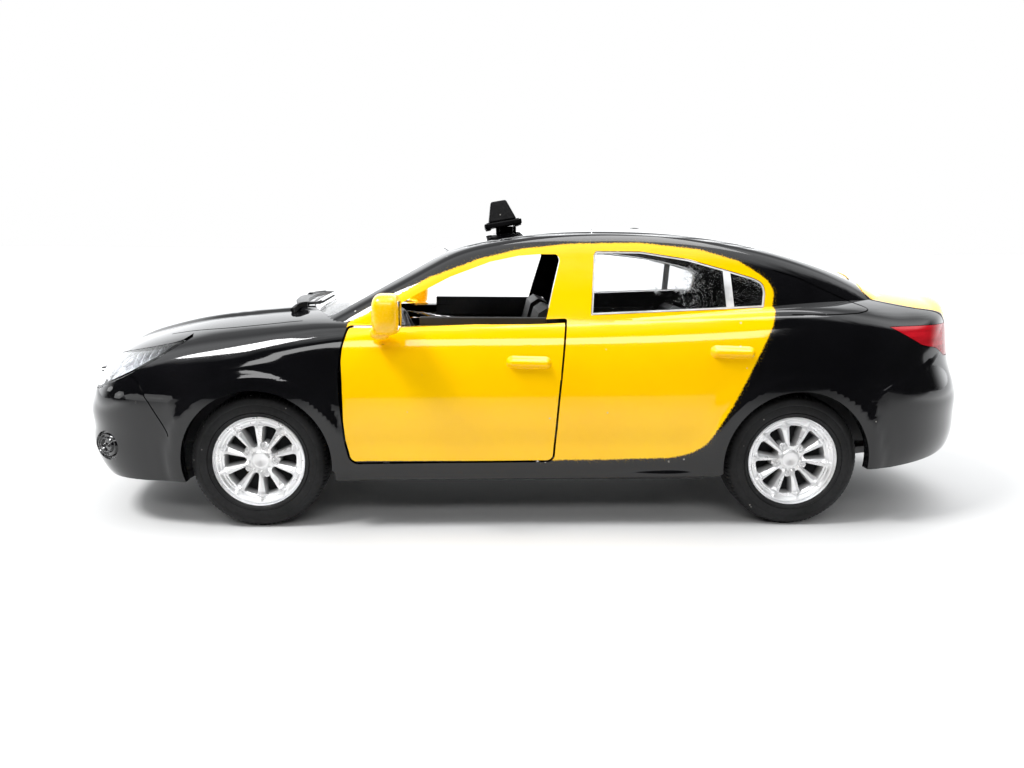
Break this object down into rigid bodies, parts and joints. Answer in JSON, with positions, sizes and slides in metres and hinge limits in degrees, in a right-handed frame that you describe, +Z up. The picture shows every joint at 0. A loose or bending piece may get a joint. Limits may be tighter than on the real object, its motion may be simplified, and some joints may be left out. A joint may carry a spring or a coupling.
{
  "type": "toy taxi car",
  "caption": "Die-cast toy saloon taxi in black and yellow, with a hollow cabin, hinged front doors, free-rolling wheels on axles and a roof sign.",
  "frame": {"origin": "on the ground under the middle of the car", "axes": "+X towards the front bumper, +Y towards the car's left side, +Z up"},
  "size_m": [0.136, 0.0598, 0.0462],
  "materials": {
    "black_paint": "gloss",
    "yellow_paint": "gloss",
    "yellow_plastic": "gloss",
    "steel": "satin",
    "clear_plastic": "gloss",
    "lamp_silver": "bright",
    "lamp_lens": "gloss",
    "red_lens": "gloss",
    "plate_white": "satin",
    "tyre_rubber": "matt",
    "plated_plastic": "bright",
    "seat_plastic": "matt",
    "black_plastic": "matt"
  },
  "bodies": {
    "car": {"body_shell": "black_paint", "door_pin_left": "steel", "door_pin_right": "steel", "windscreen": "clear_plastic", "rear_window": "clear_plastic", "rear_side_window_left": "clear_plastic", "rear_side_window_right": "clear_plastic", "headlight_left": "lamp_lens", "headlight_right": "lamp_lens", "headlight_bowl_left": "lamp_silver", "headlight_bowl_right": "lamp_silver", "tail_light_left": "red_lens", "tail_light_right": "red_lens", "grille": "black_plastic", "lower_grille": "black_plastic", "number_plate_front": "plate_white", "number_plate_rear": "plate_white", "roof_sign": "black_plastic", "sign_bracket": "black_plastic", "wiper_panel": "black_plastic", "base_plate": "black_plastic", "interior_tray": "black_plastic", "dashboard": "black_plastic", "steering_wheel": "seat_plastic", "front_seat_left": "seat_plastic", "front_seat_right": "seat_plastic", "rear_seat": "seat_plastic"},
    "door_left": {"front_door_left": "yellow_paint", "door_trim_left": "black_plastic", "door_mirror_left": "yellow_plastic"},
    "door_right": {"front_door_right": "yellow_paint", "door_trim_right": "black_plastic", "door_mirror_right": "yellow_plastic"},
    "front_wheels": {"axle_front": "steel", "tyre_front_left": "tyre_rubber", "tyre_front_right": "tyre_rubber", "rim_front_left": "plated_plastic", "rim_front_right": "plated_plastic"},
    "rear_wheels": {"axle_rear": "steel", "tyre_rear_left": "tyre_rubber", "tyre_rear_right": "tyre_rubber", "rim_rear_left": "plated_plastic", "rim_rear_right": "plated_plastic"}
  },
  "joints": [
    {"name": "front_left_door", "type": "hinge", "parent": "car", "child": "door_left", "pos_m": [0.0215, 0.0232, 0.018], "axis": [0, 0, -1], "range_deg": [0, 50]},
    {"name": "front_right_door", "type": "hinge", "parent": "car", "child": "door_right", "pos_m": [0.0215, -0.0232, 0.018], "axis": [0, 0, 1], "range_deg": [0, 50]},
    {"name": "front_wheels_roll", "type": "hinge", "parent": "car", "child": "front_wheels", "pos_m": [0.039, 0, 0.00945], "axis": [0, 1, 0], "continuous": true},
    {"name": "rear_wheels_roll", "type": "hinge", "parent": "car", "child": "rear_wheels", "pos_m": [-0.036, 0, 0.00945], "axis": [0, 1, 0], "continuous": true}
  ]
}
